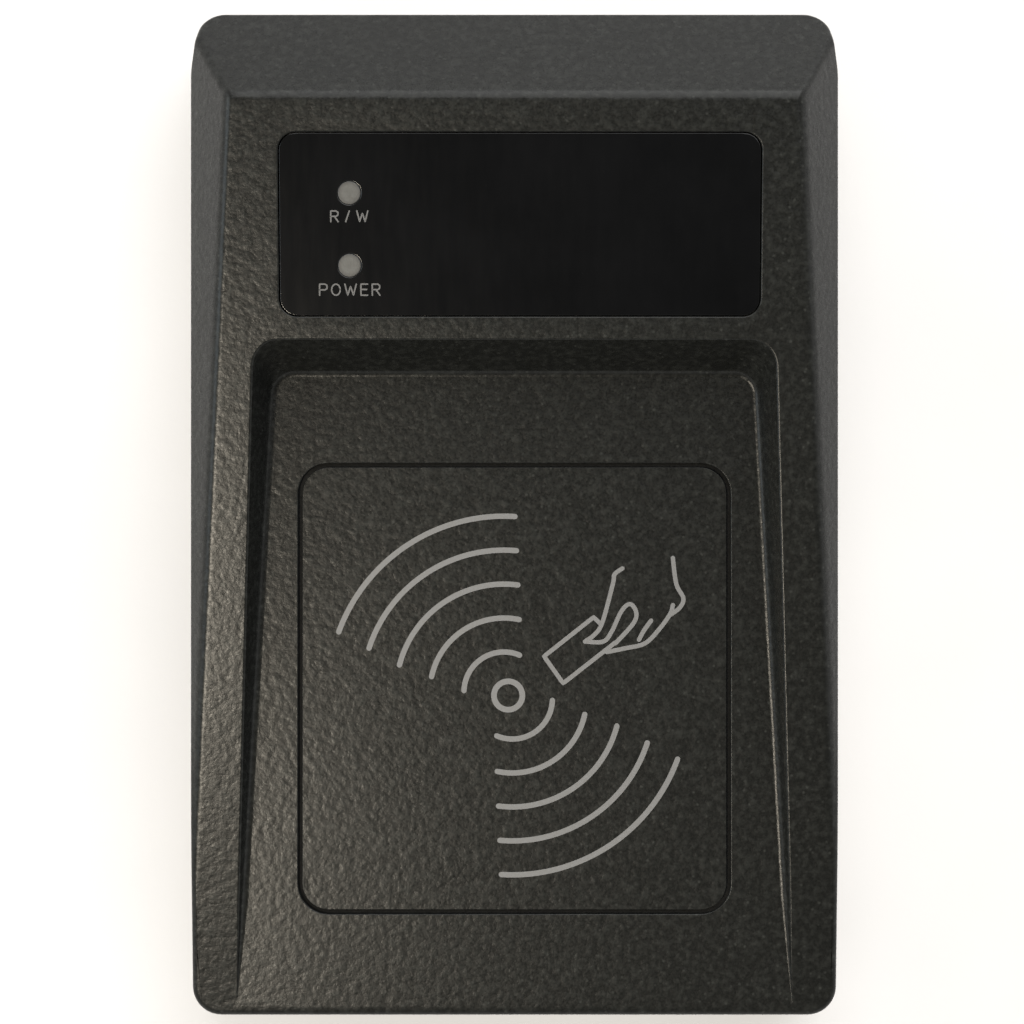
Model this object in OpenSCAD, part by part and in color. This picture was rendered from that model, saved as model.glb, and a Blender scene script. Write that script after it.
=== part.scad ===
// Desktop RFID card reader: a wedge-shaped box with a card tray in front and an indicator window behind it.
// Units are millimetres. +Z is up, +Y is the thick rear end, and the user sits at the -Y end.
// The origin is on the desk, under the middle of the reader.

/* [Body] */
// Width across the side walls
body_w = 74; // [73:0.5:77]
// Length from the front edge to the rear wall
body_l = 115.2; // [114.8:0.4:119.2]
// Height of the top face at the front edge, above the desk
front_h = 12.5; // [12.4:0.1:13.5]
// Slope of the top face, down towards the user, in degrees
top_tilt = 4.9; // [4.6:0.1:5.4]
// Slope of the rear shoulder from the level, in degrees
shoulder_tilt = 41; // [40:0.5:42]
// Lean of the side chamfers from the vertical, in degrees
chamfer_lean = 33.8; // [31:0.1:35]
// Thickness of the moulded walls
wall = 2; // [1.8:0.1:2.1]
// Height of the joint line between the two shells
split_z = 5.5; // [5.4:0.1:5.8]
// Radius of the front corners, seen from above
front_r = 3.3; // [3:0.1:4.5]
// Radius of the rear corners, seen from above
rear_r = 3; // [2.6:0.1:3.6]

/* [Card tray] */
// Width of the tray floor at its rear corners: a 54 mm card and its clearance
tray_w = 56; // [55:0.5:57]
// Rear end of the tray floor, from the middle of the body
tray_rear_y = 16.3; // [15:0.1:16.8]
// Widening of the tray towards the user, on each side, in degrees
tray_flare = 3.2; // [2.6:0.1:3.4]
// Radius of the tray's rear corners
tray_r = 3; // [2.4:0.1:3.6]
// Width of the inlaid label
label_w = 48.7; // [46:0.1:49.5]
// Length of the inlaid label
label_l = 50.8; // [48:0.1:52]
// Middle of the label, from the middle of the body
label_y = -20; // [-21:0.5:-19]

/* [Window] */
// Width of the indicator window
window_w = 53.6; // [50:0.1:55]
// Length of the window along the slope
window_l = 20.2; // [18:0.1:21]
// Sideways place of the window's middle
window_x = 0.6; // [0:0.1:1]
// Middle of the window, from the middle of the body
window_y = 32.3; // [32:0.1:33]
// Diameter of the indicator spots
spot_d = 2.6; // [2.2:0.1:3]

/* [Fittings] */
// Height of the rubber feet below the case
foot_h = 1.2; // [0.9:0.1:1.3]
// Diameter of the rubber feet
foot_d = 10; // [8:0.5:11]
// Thickness of the circuit board
board_t = 1.6; // [1.4:0.1:1.6]
// Turns of the antenna coil
coil_turns = 5; // [3:1:6]

/* [Hidden] */
$fn = 48;

half_w = body_w / 2;
half_l = body_l / 2;
cut = 80; // reach of the blocks that trim the body
seam = 0.2; // open joint line between the shells
lip_h = 1.2; // rise of the bottom shell's inner lip
lip_gap = 0.1;

side_h = front_h + 1.3; // where the side walls meet their chamfers
rear_h = front_h - 0.6; // where the rear wall meets the shoulder
taper_y = half_l - 7.7; // where the side walls begin to close in at the rear
taper_a = 10;
taper_r = 8;
taper_x = half_w - taper_r;
rear_cy = half_l - rear_r;
rear_cx = taper_x + (taper_r - rear_r - (rear_cy - taper_y) * sin(taper_a)) / cos(taper_a);

tray_z = front_h + 0.1; // tray floor, level, so the tray fades out at the front edge
tray_rise = 9; // reach of the tray's walls above its floor
tray_side_run = tan(12); // draft of the side walls
tray_rear_run = tan(27); // slope of the rear wall
label_t = 0.5;
label_r = 3;
label_gap = 0.5;
label_sink = 0.1; // the label's face lies this far below the tray floor

window_t = 1;
window_r = 1.9;
window_sink = 0.15;
window_gap = 0.12;
spot_x = -18.4;
spot_status_y = window_y + 3.5;
spot_power_y = window_y - 4.5;
flange_r = spot_d / 2 + 0.8;

floor_t = 2;
floor_z = foot_h + floor_t;
base_chamfer = 0.8;
foot_recess = 0.5;
foot_x = 26;
foot_y = 42;
rating_w = 44;
rating_l = 26;
rating_t = 0.15;
rating_recess = 0.25;

case_x = half_w - 5.6;
case_y = half_l - 7.1;
case_boss_r = 3;
case_hole_r = 1.45;
case_bore_r = 1.3; // core hole in the top shell's bosses
case_shank_r = 1.25;
case_shank_l = 5.8;
case_head_r = 2.3;
case_head_h = 1.5;
counterbore_r = 2.55;
seat_z = foot_h + 2.2; // face under the case screw heads

board_z = floor_z + 2;
board_top = board_z + board_t;
board_hw = 29;
board_hl = 47;
board_tongue_hw = 12;
board_tongue_y = half_l - wall - 0.6;
board_screw_front = [26.5, -44];
board_screw_rear = [25.5, 43];
board_bore_r = 0.95;
board_shank_r = 0.9;
board_grip = 1.8; // depth of the board screws in their bosses

coil_half = 23;
coil_pitch = 1.2;
trace_w = 0.7;
trace_t = 0.12;

led_w = 3.2;
led_l = 2.8;
led_h = 1.5;

mouth_y = half_l - 0.3; // mouth of the data socket, just inside the rear wall's face
socket_l = 9;
socket_t = 0.35;
socket_w = 7.7;
socket_h = 3.9;
slot_hw = socket_w / 2 + 0.35;

// Points on an arc from angle a0 to a1
function arc(cx, cy, r, a0, a1, steps = 8) =
    [for (i = [0:steps]) let (a = a0 + (a1 - a0) * i / steps) [cx + r * cos(a), cy + r * sin(a)]];

// The same points on the other side, in reverse order
function mirrored(points) =
    [for (i = [len(points) - 1:-1:0]) [-points[i].x, points[i].y]];

// Right half of the body's outline, drawn in by inset
function half_outline(inset) = concat(
    arc(half_w - front_r, front_r - half_l, front_r - inset, -90, 0),
    arc(taper_x, taper_y, taper_r - inset, 0, taper_a, 2),
    arc(rear_cx, rear_cy, rear_r - inset, taper_a, 90)
);

// Tray outline at a height above its floor, let out by grow
function tray_points(lift, grow) =
    let (
        r = tray_r + grow,
        cx = tray_w / 2 - tray_r + tray_side_run * lift,
        cy = tray_rear_y - tray_r + tray_rear_run * lift,
        front_y = -half_l - 5,
        front_x = cx + r * cos(tray_flare) + (cy + r * sin(tray_flare) - front_y) * tan(tray_flare),
        side = concat([[front_x, front_y]], arc(cx, cy, r, tray_flare, 90))
    )
    concat(side, mirrored(side));

function rounded(w, l, r) =
    let (side = concat(
        arc(w / 2 - r, r - l / 2, r, -90, 0),
        arc(w / 2 - r, l / 2 - r, r, 0, 90)
    ))
    concat(side, mirrored(side));

// Heights of the sloped top face and of the rear shoulder, drawn in by inset
function top_z(y, inset = 0) = front_h + tan(top_tilt) * (y + half_l) - inset / cos(top_tilt);
function shoulder_z(y, inset = 0) = rear_h + tan(shoulder_tilt) * (half_l - y) - inset / cos(shoulder_tilt);

// Half the width between the side chamfers, drawn in by inset
function chamfer_x(z, inset = 0) = half_w - tan(chamfer_lean) * (z - side_h) - inset / cos(chamfer_lean);

// Side view of the body in Y and Z: the top face rises to a crease and the shoulder falls behind it
function side_profile(inset) =
    let (
        reach = half_l + 1,
        crease_y = (shoulder_z(0, inset) - top_z(0, inset)) / (tan(top_tilt) + tan(shoulder_tilt))
    )
    [
        [-reach, 0], [reach, 0], [reach, shoulder_z(reach, inset)],
        [crease_y, top_z(crease_y, inset)], [-reach, top_z(-reach, inset)],
    ];

// Front view of the body in X and Z: a trapezium between the side chamfers
function front_profile(inset) =
    let (side = [[chamfer_x(0, inset), 0], [chamfer_x(30, inset), 30]])
    concat(side, mirrored(side));

// Corner k of a coil that winds inwards
function coil_corner(k) =
    let (
        turn = floor(k / 4),
        a = coil_half - coil_pitch * turn,
        last = coil_half - coil_pitch * max(turn - 1, 0)
    )
    [[-a, last], [-a, -a], [a, -a], [a, a]][k % 4];

// Socket section, wide side up, standing on the board
function socket_section(inset) =
    let (
        wide = socket_w / 2 - inset,
        narrow = socket_w / 2 - 0.8 - inset,
        right = [[narrow, inset], [narrow, 0.8], [wide, 1.7], [wide, socket_h - inset]]
    )
    concat(right, mirrored(right));

module body_outline(inset) {
    side = half_outline(inset);
    polygon(concat(side, mirrored(side)));
}

// Places children in the plane of the sloped top face, with Y measured along the slope from the front edge
module on_top_face() {
    translate([0, -half_l, front_h])
        rotate([top_tilt, 0, 0])
            children();
}

module above_top_face(inset) {
    on_top_face()
        translate([-cut, -cut / 4, -inset])
            cube([2 * cut, 2 * cut, cut]);
}

// The closed outer form of the top shell from z0 up, drawn in by inset
module body_mass(inset, z0) {
    intersection() {
        translate([0, 0, z0])
            linear_extrude(24)
                body_outline(inset);
        rotate([90, 0, 90])
            linear_extrude(body_w + 2, center = true)
                polygon(side_profile(inset));
        rotate([90, 0, 0])
            linear_extrude(body_l + 2, center = true)
                polygon(front_profile(inset));
    }
}

// The tray as a solid, with walls of thickness grow around it
module tray_space(grow) {
    hull() {
        translate([0, 0, tray_z - grow])
            linear_extrude(0.01)
                polygon(tray_points(-grow, grow));
        translate([0, 0, tray_z + tray_rise])
            linear_extrude(0.01)
                polygon(tray_points(tray_rise, grow));
    }
}

module window_plate(gap, t) {
    on_top_face()
        translate([window_x, (window_y + half_l) / cos(top_tilt), -window_sink - window_t])
            linear_extrude(t)
                polygon(rounded(window_w + 2 * gap, window_l + 2 * gap, window_r + gap));
}

module at_case_screws() {
    for (x = [-case_x, case_x])
        for (y = [-case_y, case_y])
            translate([x, y, 0])
                children();
}

module at_board_screws() {
    for (side = [-1, 1])
        for (p = [board_screw_front, board_screw_rear])
            translate([side * p.x, p.y, 0])
                children();
}

module at_spots() {
    for (y = [spot_status_y, spot_power_y])
        translate([spot_x, y, 0])
            children();
}

module cross_recess(reach, depth) {
    for (a = [0, 90])
        rotate([0, 0, a])
            translate([-reach, -0.3, -0.01])
                cube([2 * reach, 0.6, depth + 0.01]);
}

module top_shell() {
    boss_bore_z = seat_z + case_shank_l + 0.4;
    color([0.25, 0.25, 0.24])
    difference() {
        union() {
            difference() {
                body_mass(0, split_z + seam / 2);
                difference() {
                    body_mass(wall, split_z - 1);
                    tray_space(wall);
                }
            }
            intersection() {
                body_mass(wall / 2, split_z);
                at_case_screws()
                    translate([0, 0, split_z])
                        cylinder(r = case_boss_r, h = 20);
            }
        }
        tray_space(0);
        translate([0, 0, split_z - 0.1])
            linear_extrude(lip_h + seam + 0.1)
                difference() {
                    body_outline(wall / 2 - lip_gap / 2);
                    body_outline(wall + 0.1);
                }
        window_plate(window_gap, 5);
        at_spots()
            translate([0, 0, split_z])
                cylinder(d = spot_d + 0.2, h = 24);
        translate([0, label_y, tray_z - label_t - label_sink])
            linear_extrude(2)
                polygon(rounded(label_w + 2 * label_gap, label_l + 2 * label_gap, label_r + label_gap));
        at_case_screws()
            translate([0, 0, split_z - 1])
                cylinder(r = case_bore_r, h = boss_bore_z - split_z + 1);
        translate([-slot_hw, half_l - wall - 1, split_z - 1])
            cube([2 * slot_hw, wall + 2, board_top + socket_h + 0.35 - split_z + 1]);
    }
}

module bottom_shell() {
    rim_z = split_z - seam / 2;
    color([0.2, 0.2, 0.2])
    difference() {
        union() {
            difference() {
                union() {
                    hull() {
                        translate([0, 0, foot_h])
                            linear_extrude(0.01)
                                body_outline(base_chamfer);
                        translate([0, 0, foot_h + base_chamfer])
                            linear_extrude(0.01)
                                body_outline(0);
                    }
                    translate([0, 0, foot_h + base_chamfer])
                        linear_extrude(rim_z - foot_h - base_chamfer)
                            body_outline(0);
                    translate([0, 0, foot_h + base_chamfer])
                        linear_extrude(split_z + lip_h - foot_h - base_chamfer)
                            body_outline(wall / 2 + lip_gap / 2);
                }
                translate([0, 0, floor_z])
                    linear_extrude(10)
                        body_outline(wall);
            }
            at_case_screws()
                translate([0, 0, floor_z - 1])
                    cylinder(r = case_boss_r + 0.3, h = split_z - floor_z + 1);
            at_board_screws()
                translate([0, 0, floor_z - 1])
                    cylinder(r = 2.2, h = board_z - floor_z + 1);
            translate([0.2 - slot_hw, half_l - wall + 0.1, rim_z - 1])
                cube([2 * slot_hw - 0.4, wall - 0.2, board_top - 0.1 - rim_z + 1]);
        }
        at_case_screws() {
            translate([0, 0, foot_h - 1])
                cylinder(r = counterbore_r, h = seat_z - foot_h + 1);
            cylinder(r = case_hole_r, h = 10);
        }
        at_board_screws()
            translate([0, 0, floor_z])
                cylinder(r = board_bore_r, h = 10);
        for (x = [-foot_x, foot_x])
            for (y = [-foot_y, foot_y])
                translate([x, y, 0])
                    cylinder(d = foot_d + 0.3, h = foot_h + foot_recess);
        linear_extrude(foot_h + rating_recess)
            polygon(rounded(rating_w + 0.6, rating_l + 0.6, 1.8));
    }
}

module display_window() {
    color([0.06, 0.06, 0.07])
    difference() {
        window_plate(0, window_t);
        at_spots()
            cylinder(d = spot_d + 0.04, h = 30);
    }
}

module tray_label() {
    color([0.24, 0.24, 0.23])
    translate([0, label_y, tray_z - label_t - label_sink])
        linear_extrude(label_t)
            polygon(rounded(label_w, label_l, label_r));
}

// A rod from just above its diode up to the window's face, with a flange under the shell's ceiling
module light_pipe(y) {
    bottom = board_top + led_h + 0.2;
    flange_top = top_z(y - flange_r, wall) - 0.05;
    color([0.55, 0.55, 0.54])
    difference() {
        translate([spot_x, y, 0]) {
            translate([0, 0, bottom])
                cylinder(d = spot_d, h = 20);
            translate([0, 0, flange_top - 0.8])
                cylinder(r = flange_r, h = 0.8);
        }
        above_top_face(window_sink);
    }
}

module light_pipe_status() {
    light_pipe(spot_status_y);
}

module light_pipe_power() {
    light_pipe(spot_power_y);
}

module rubber_feet() {
    r = foot_d / 2;
    top = foot_h + foot_recess;
    color([0.12, 0.12, 0.12])
    for (x = [-foot_x, foot_x])
        for (y = [-foot_y, foot_y])
            translate([x, y, 0])
                rotate_extrude()
                    polygon([[0, 0], [r - 0.6, 0], [r, 0.6], [r, top], [0, top]]);
}

module rating_label() {
    color([0.75, 0.75, 0.76])
    translate([0, 0, foot_h + rating_recess - rating_t])
        linear_extrude(rating_t)
            polygon(rounded(rating_w, rating_l, 1.5));
}

module case_screws() {
    color([0.6, 0.6, 0.62])
    at_case_screws()
        difference() {
            union() {
                translate([0, 0, seat_z - case_head_h])
                    cylinder(r = case_head_r, h = case_head_h);
                translate([0, 0, seat_z])
                    cylinder(r = case_shank_r, h = case_shank_l - 1);
                translate([0, 0, seat_z + case_shank_l - 1])
                    cylinder(r1 = case_shank_r, r2 = 0.5, h = 1);
            }
            translate([0, 0, seat_z - case_head_h])
                cross_recess(1.4, 0.9);
        }
}

module main_board() {
    color([0.05, 0.3, 0.16])
    translate([0, 0, board_z])
        linear_extrude(board_t)
            difference() {
                union() {
                    square([2 * board_hw, 2 * board_hl], center = true);
                    translate([-board_tongue_hw, 0])
                        square([2 * board_tongue_hw, board_tongue_y]);
                }
                at_board_screws()
                    circle(r = 1.15);
            }
}

module board_screws() {
    head_h = 1.1;
    color([0.62, 0.62, 0.64])
    at_board_screws()
        difference() {
            union() {
                translate([0, 0, board_z - board_grip])
                    cylinder(r = board_shank_r, h = board_t + board_grip);
                translate([0, 0, board_top])
                    cylinder(r = 1.8, h = head_h);
            }
            translate([0, 0, board_top + head_h])
                mirror([0, 0, 1])
                    cross_recess(1.1, 0.7);
        }
}

// One run of square-ended trace between two corners in line with an axis
module trace(a, b) {
    low = [min(a.x, b.x) - trace_w / 2, min(a.y, b.y) - trace_w / 2];
    high = [max(a.x, b.x) + trace_w / 2, max(a.y, b.y) + trace_w / 2];
    translate(low)
        square(high - low);
}

module antenna_coil() {
    color([0.72, 0.45, 0.2])
    translate([0, label_y, board_top])
        linear_extrude(trace_t) {
            for (k = [0:4 * coil_turns - 2])
                trace(coil_corner(k), coil_corner(k + 1));
            trace([-coil_half, coil_half], [-coil_half, coil_half + 2]);
        }
}

// A gull-wing lead whose root is at the origin and which reaches along +X
module lead(width, rise) {
    rotate([90, 0, 0])
        linear_extrude(width, center = true)
            polygon([
                [-0.1, rise], [-0.1, rise + 0.15], [0.5, rise + 0.15], [0.5, 0.15],
                [1, 0.15], [1, 0], [0.35, 0], [0.35, rise],
            ]);
}

// A moulded chip on the board with rows of leads on its X sides, and on its Y sides too if count_y is given
module leaded_chip(size, pitch, lead_w, count_x, count_y = 0) {
    rise = size.z / 2;
    translate([0, 0, size.z / 2 + 0.05])
        cube([size.x, size.y, size.z - 0.1], center = true);
    for (turn = [0, 180])
        rotate([0, 0, turn]) {
            for (i = [0:count_x - 1])
                translate([size.x / 2, (i - (count_x - 1) / 2) * pitch, 0])
                    lead(lead_w, rise);
            if (count_y > 0)
                rotate([0, 0, 90])
                    for (i = [0:count_y - 1])
                        translate([size.y / 2, (i - (count_y - 1) / 2) * pitch, 0])
                            lead(lead_w, rise);
        }
}

module on_board(x, y, turn = 0) {
    translate([x, y, board_top])
        rotate([0, 0, turn])
            children();
}

// A ceramic or resistor block with its two end caps
module end_capped_chip(l, w, h) {
    translate([0, 0, h / 2])
        cube([l - 0.4, w - 0.06, h - 0.06], center = true);
    for (side = [-1, 1])
        translate([side * (l / 2 - 0.2), 0, h / 2])
            cube([0.4, w, h], center = true);
}

module reader_chip() {
    color([0.1, 0.1, 0.1])
    on_board(-6, 10)
        difference() {
            translate([0, 0, 0.45])
                cube([6, 6, 0.9], center = true);
            translate([-2.3, 2.3, 0.8])
                cylinder(r = 0.3, h = 1);
        }
}

module reader_crystal() {
    color([0.7, 0.7, 0.7])
    on_board(-14, 10) {
        translate([0, 0, 0.35])
            cube([5, 3.2, 0.7], center = true);
        translate([0, 0, 0.9])
            cube([4.6, 2.8, 0.4], center = true);
    }
}

module filter_inductors() {
    color([0.3, 0.3, 0.32])
    for (y = [8.5, 12])
        on_board(1.5, y) {
            translate([0, 0, 0.15])
                cube([2.5, 2, 0.3], center = true);
            translate([0, 0, 0.65])
                cube([1.5, 1.5, 0.8], center = true);
            translate([0, 0, 1.15])
                cube([2.5, 2, 0.3], center = true);
        }
}

module microcontroller() {
    color([0.1, 0.1, 0.1])
    on_board(1, 26)
        leaded_chip([7, 7, 1.4], 0.8, 0.36, 8, 8);
}

module clock_crystal() {
    color([0.75, 0.75, 0.76])
    on_board(11.5, 27, 90) {
        linear_extrude(0.5)
            polygon(rounded(11.2, 4.7, 2.34));
        linear_extrude(3.5)
            polygon(rounded(10.2, 3.7, 1.84));
    }
}

module bridge_chip() {
    color([0.1, 0.1, 0.1])
    on_board(1, 40)
        leaded_chip([5.3, 7.2, 1.7], 0.65, 0.3, 10);
}

module voltage_regulator() {
    color([0.1, 0.1, 0.1])
    on_board(-13.5, 42, 90) {
        leaded_chip([3.5, 6.5, 1.6], 2.3, 0.7, 3);
        translate([-2.65, -1.5, 0])
            cube([1, 3, 0.15]);
    }
}

module reservoir_capacitor() {
    r = 3.15;
    color([0.7, 0.7, 0.72])
    on_board(-9.5, 33) {
        linear_extrude(0.8)
            polygon([[-3.3, -3.3], [2.3, -3.3], [3.3, -2.3], [3.3, 2.3], [2.3, 3.3], [-3.3, 3.3]]);
        rotate_extrude()
            polygon([
                [0, 0.5], [r, 0.5], [r, 1.6], [r - 0.25, 1.8], [r, 2], [r, 5.2],
                [r - 0.4, 5.6], [0, 5.6],
            ]);
    }
}

module ceramic_capacitors() {
    color([0.6, 0.5, 0.38])
    for (p = [
        [6, 8], [6, 10.5], [6, 13], [-10.5, 13.5], [-1.5, 14], [7.5, 32], [-5, 20.5], [8, 37], [-14, 36.5],
    ])
        on_board(p.x, p.y)
            end_capped_chip(1.6, 0.8, 0.8);
}

module chip_resistors() {
    color([0.15, 0.15, 0.15])
    for (p = [[-2, 46], [4, 46], [-22.5, 27.8], [-22.5, 35.8], [10, 10], [10, 12.5]])
        on_board(p.x, p.y, 90)
            end_capped_chip(1.6, 0.8, 0.5);
}

module buzzer() {
    color([0.12, 0.12, 0.12])
    on_board(20, 35)
        rotate_extrude()
            polygon([[0, 0], [6, 0], [6, 7], [5.6, 7.4], [1, 7.4], [1, 6.4], [0, 6.4]]);
}

// A surface-mount diode with its light cup
module diode(y) {
    on_board(spot_x, y)
        difference() {
            translate([0, 0, led_h / 2])
                cube([led_w, led_l, led_h], center = true);
            translate([0, 0, led_h - 0.5])
                cylinder(r1 = 0.8, r2 = 1.1, h = 0.51);
        }
}

module status_led() {
    color([0.9, 0.9, 0.86])
    diode(spot_status_y);
}

module power_led() {
    color([0.9, 0.9, 0.86])
    diode(spot_power_y);
}

// Extrudes a section drawn in X and Z, from the socket's mouth inwards
module from_mouth(depth) {
    translate([0, mouth_y, board_top])
        rotate([90, 0, 0])
            linear_extrude(depth)
                children();
}

module socket_shell() {
    color([0.76, 0.76, 0.78])
    from_mouth(socket_l)
        difference() {
            polygon(socket_section(0));
            polygon(socket_section(socket_t));
        }
}

module socket_insulator() {
    back = 3;
    color([0.1, 0.1, 0.1]) {
        translate([0, back - socket_l, 0])
            from_mouth(back)
                polygon(socket_section(socket_t));
        translate([-2.6, mouth_y - socket_l + 2, board_top + 1.95])
            cube([5.2, socket_l - 3, 0.9]);
    }
}

module socket_contacts() {
    color([0.85, 0.7, 0.3])
    for (i = [-2:2])
        translate([i * 0.8 - 0.2, mouth_y - 5.9, board_top + 1.8])
            cube([0.4, 4.6, 0.15]);
}

top_shell();
bottom_shell();
display_window();
tray_label();
light_pipe_status();
light_pipe_power();
rubber_feet();
rating_label();
case_screws();
main_board();
board_screws();
antenna_coil();
reader_chip();
reader_crystal();
filter_inductors();
microcontroller();
clock_crystal();
bridge_chip();
voltage_regulator();
reservoir_capacitor();
ceramic_capacitors();
chip_resistors();
buzzer();
status_led();
power_led();
socket_shell();
socket_insulator();
socket_contacts();
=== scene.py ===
"""Looks of the desktop RFID card reader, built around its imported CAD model.

Lengths in the modelling code are millimetres, in the model's own frame, and become metres in solid().
"""

from math import atan, atan2, cos, hypot, pi, radians, sin, tan

import bmesh
import bpy
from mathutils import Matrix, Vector


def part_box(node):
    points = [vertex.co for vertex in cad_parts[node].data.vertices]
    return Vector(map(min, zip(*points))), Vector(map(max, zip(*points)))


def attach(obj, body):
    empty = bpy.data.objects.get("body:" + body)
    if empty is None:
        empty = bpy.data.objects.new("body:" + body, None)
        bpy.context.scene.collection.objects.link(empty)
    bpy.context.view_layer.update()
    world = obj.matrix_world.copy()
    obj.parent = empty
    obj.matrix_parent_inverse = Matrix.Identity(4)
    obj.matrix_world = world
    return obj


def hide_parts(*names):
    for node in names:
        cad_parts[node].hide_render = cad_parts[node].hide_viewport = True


MM = 0.001

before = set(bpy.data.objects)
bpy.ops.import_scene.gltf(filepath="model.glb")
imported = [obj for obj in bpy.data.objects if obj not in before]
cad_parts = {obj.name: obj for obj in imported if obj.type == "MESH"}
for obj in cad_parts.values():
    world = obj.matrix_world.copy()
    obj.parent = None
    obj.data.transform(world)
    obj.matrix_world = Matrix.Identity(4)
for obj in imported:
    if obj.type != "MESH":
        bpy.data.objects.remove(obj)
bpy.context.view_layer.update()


def box_mm(node):
    low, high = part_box(node)
    return low / MM, high / MM


# ---------------------------------------------------------------- form of the case
case_low, case_high = box_mm("top_shell")
label_low, label_high = box_mm("tray_label")
window_low, window_high = box_mm("display_window")
pipe_boxes = [box_mm("light_pipe_status"), box_mm("light_pipe_power")]
socket_low, socket_high = box_mm("socket_shell")

HALF_W = case_high.x
HALF_L = case_high.y
BOTTOM_Z = case_low.z
SEAM_Z = BOTTOM_Z + 0.1
FRONT_H = label_high.z
TOP_TILT = radians(4.9)
SHOULDER_TILT = radians(41)
CHAMFER_LEAN = radians(33.8)
SIDE_H = FRONT_H + 1.3
REAR_H = FRONT_H - 0.6
SHOULDER_BLEND = 0.6  # softness of the creases
CHAMFER_BLEND = 0.95
WALL = 2.0
EDGE_ROUND = 0.7

FRONT_R = 3.3
REAR_R = 3.0
TAPER_R = 8.0
TAPER_A = radians(10)
TAPER_Y = HALF_L - 7.7
TAPER_X = HALF_W - TAPER_R
REAR_CY = HALF_L - REAR_R
REAR_CX = TAPER_X + (TAPER_R - REAR_R - (REAR_CY - TAPER_Y) * sin(TAPER_A)) / cos(TAPER_A)

TRAY_Z = FRONT_H + 0.1
TRAY_R = 3.0
TRAY_CX = 25.0
TRAY_CY = 13.3
TRAY_FLARE = radians(3.2)
TRAY_RUN_X = tan(radians(12))
TRAY_RUN_Y = tan(radians(27))
TRAY_FOOT_R = 0.9
TRAY_RIM_R = 0.35
LABEL_Y = (label_low.y + label_high.y) / 2
LABEL_GAP = 0.5
WINDOW_T = 1.0
WINDOW_SINK = 0.15  # the window lies this far below the top face

ARC_STEPS = 9  # steps round a front corner
SIDE_STEPS = 26
TAPER_STEPS = 3
TAIL_STEPS = 2
MITRE_STEP = 6  # step of the rear corner at which the mitre line meets the outline
CORNER_STEPS = 22
ARC_START = 10  # step of the rear corner at which its arc starts
REAR_STEPS = 12
CREASE_LEVELS = 9
FILLET_STEPS = 5
MITRE_Y = HALF_L - 4.0


def lerp(a, b, t):
    return a + (b - a) * t


def smooth_min(a, b, k):
    h = max(k - abs(a - b), 0.0) / k
    return min(a, b) - h * h * k / 4


def top_height(y, inset=0.0):
    return FRONT_H + tan(TOP_TILT) * (y + HALF_L) - inset / cos(TOP_TILT)


def body_height(x, y, inset=0.0):
    """Height of the roof without its tray: top face, rear shoulder and side chamfers with soft creases."""
    shoulder = REAR_H + tan(SHOULDER_TILT) * (HALF_L - y) - inset / cos(SHOULDER_TILT)
    chamfer = SIDE_H + (HALF_W - abs(x) - inset / cos(CHAMFER_LEAN)) / tan(CHAMFER_LEAN)
    return smooth_min(smooth_min(top_height(y, inset), shoulder, SHOULDER_BLEND), chamfer, CHAMFER_BLEND)


def outline_stations():
    """(point, outward normal) on the right half of the outline, from its front corner to the rear middle."""
    found = []
    for i in range(ARC_STEPS + 1):
        a = lerp(-pi / 2, 0, i / ARC_STEPS)
        found.append((HALF_W - FRONT_R + FRONT_R * cos(a), FRONT_R - HALF_L + FRONT_R * sin(a), a))
    for i in range(1, SIDE_STEPS + 1):
        found.append((HALF_W, lerp(FRONT_R - HALF_L, TAPER_Y, i / SIDE_STEPS), 0.0))
    for i in range(1, TAPER_STEPS + 1):
        a = TAPER_A * i / TAPER_STEPS
        found.append((TAPER_X + TAPER_R * cos(a), TAPER_Y + TAPER_R * sin(a), a))
    x0, y0, a0 = found[-1]
    x1, y1 = REAR_CX + REAR_R * cos(TAPER_A), REAR_CY + REAR_R * sin(TAPER_A)
    tail = [lerp(y0, MITRE_Y - 1.2, i / TAIL_STEPS) for i in range(1, TAIL_STEPS + 1)]
    tail += [lerp(MITRE_Y - 1.2, MITRE_Y, i / MITRE_STEP) for i in range(1, MITRE_STEP + 1)]
    tail += [lerp(MITRE_Y, y1, i / (ARC_START - MITRE_STEP)) for i in range(1, ARC_START - MITRE_STEP + 1)]
    found += [(lerp(x0, x1, (y - y0) / (y1 - y0)), y, a0) for y in tail]
    for i in range(1, CORNER_STEPS - ARC_START + 1):
        a = lerp(TAPER_A, pi / 2, i / (CORNER_STEPS - ARC_START))
        found.append((REAR_CX + REAR_R * cos(a), REAR_CY + REAR_R * sin(a), a))
    for i in range(1, REAR_STEPS + 1):
        found.append((lerp(REAR_CX, 0, i / REAR_STEPS), HALF_L, pi / 2))
    return [((x, y), (cos(a), sin(a))) for x, y, a in found]


OUTLINE = outline_stations()
CORNER_START = ARC_STEPS + SIDE_STEPS + TAPER_STEPS + TAIL_STEPS
CORNER_END = CORNER_START + CORNER_STEPS
LAST = CORNER_END + REAR_STEPS


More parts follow.
